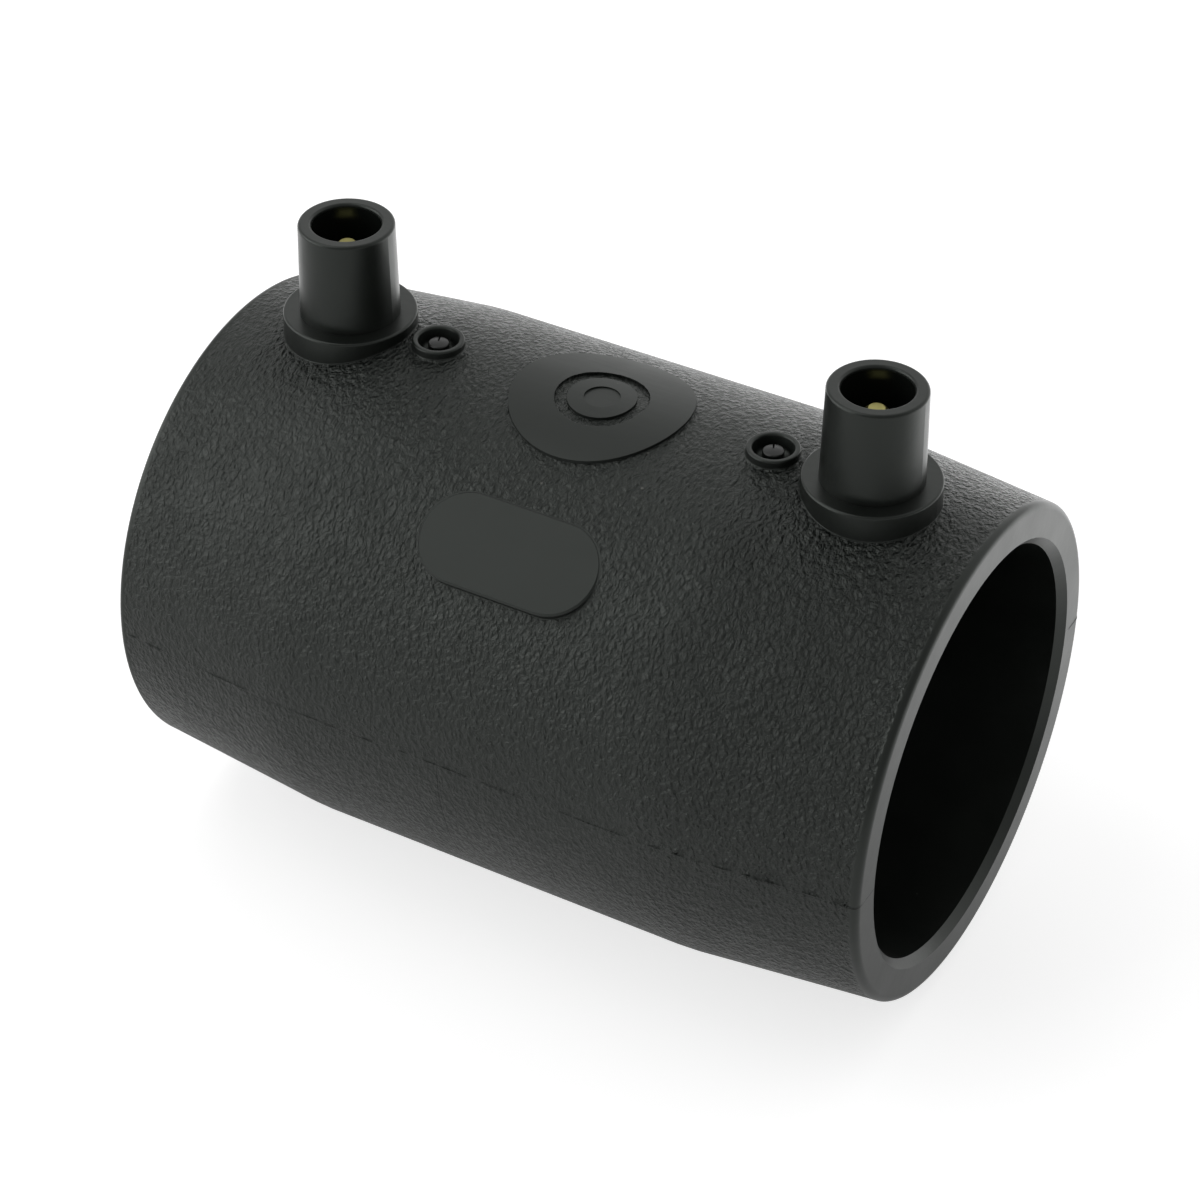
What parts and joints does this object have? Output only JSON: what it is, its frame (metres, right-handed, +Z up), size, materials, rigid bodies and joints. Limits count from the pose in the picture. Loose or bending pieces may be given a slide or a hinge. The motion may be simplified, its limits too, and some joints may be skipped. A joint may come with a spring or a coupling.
{
  "type": "electrofusion coupler",
  "caption": "Black polyethylene pipe coupler: a tapered barrel with a socket at each end, shrouded brass terminals, fusion indicators and a moulded-in heating wire.",
  "frame": {"origin": "on the pipe axis, halfway between the end faces, in the plane where the pipe ends meet the stop ring", "axes": "+X along the pipe axis towards the right socket's mouth, +Z up the terminals; the stadium-shaped pad faces -Y and +Z"},
  "size_m": [0.125, 0.0824, 0.099],
  "materials": {
    "black_polyethylene": "moulded black polyethylene, grained outside and smooth on the sockets, shrouds and pads",
    "indicator_polyethylene": "smooth moulded black polyethylene",
    "brass_contact": "turned brass",
    "resistance_wire": "drawn copper-nickel resistance wire"
  },
  "bodies": {
    "root": {"coupler_body": "black_polyethylene", "fusion_indicator_left": "indicator_polyethylene", "fusion_indicator_right": "indicator_polyethylene", "heating_wire": "resistance_wire", "terminal_pin_left": "brass_contact", "terminal_pin_right": "brass_contact"}
  },
  "joints": []
}
